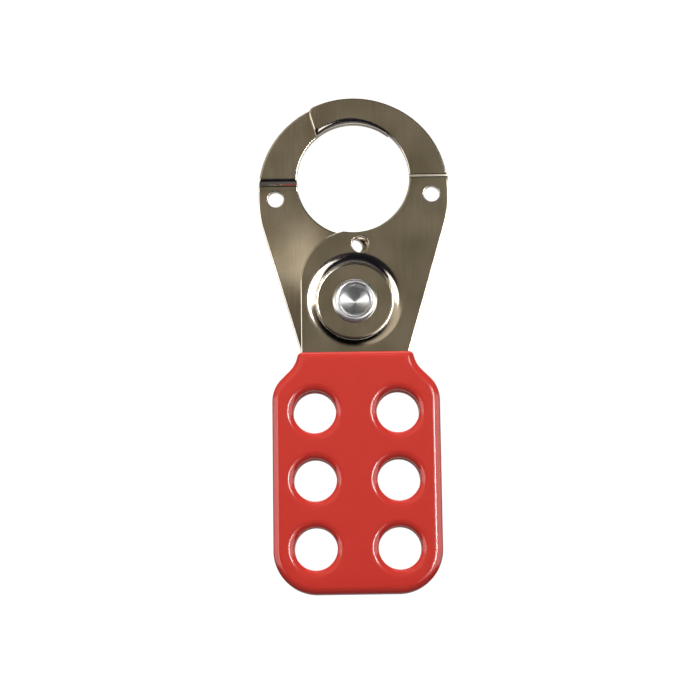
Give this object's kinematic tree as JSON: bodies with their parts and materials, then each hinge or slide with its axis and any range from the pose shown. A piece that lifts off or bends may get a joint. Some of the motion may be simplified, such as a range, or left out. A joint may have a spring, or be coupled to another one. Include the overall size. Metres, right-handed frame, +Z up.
{
  "type": "lockout hasp",
  "caption": "Scissor lockout hasp: two riveted steel plates whose half-ring jaws overlap, with plastic-dipped handles full of padlock holes.",
  "frame": {"origin": "centre of the closed jaw opening, on the plane between the two plates", "axes": "+Z up along the handle from its end to the jaw, the front face (the rivet's rolled end) towards -Y, +X to the right seen from the front"},
  "size_m": [0.0428, 0.007, 0.1118],
  "materials": {
    "nickel_plated_steel": "bright nickel plate over pressed sheet, fine rolling haze, small nicks at the edges",
    "red_dipped_vinyl": "soft satin-gloss dip coat with slightly rippled skin and rolled lips",
    "zinc_plated_rivet": "bright plated semi-tubular rivet with fine turning marks in its drilled end"
  },
  "bodies": {
    "front_half": {"front_jaw_plate": "nickel_plated_steel", "front_handle_coating": "red_dipped_vinyl", "pivot_rivet": "zinc_plated_rivet"},
    "rear_half": {"rear_jaw_plate": "nickel_plated_steel", "rear_handle_coating": "red_dipped_vinyl"}
  },
  "joints": [
    {"name": "jaw_pivot", "type": "hinge", "parent": "front_half", "child": "rear_half", "pos_m": [0, 0, -0.0282], "axis": [0, -1, 0], "range_deg": [0, 90]}
  ]
}
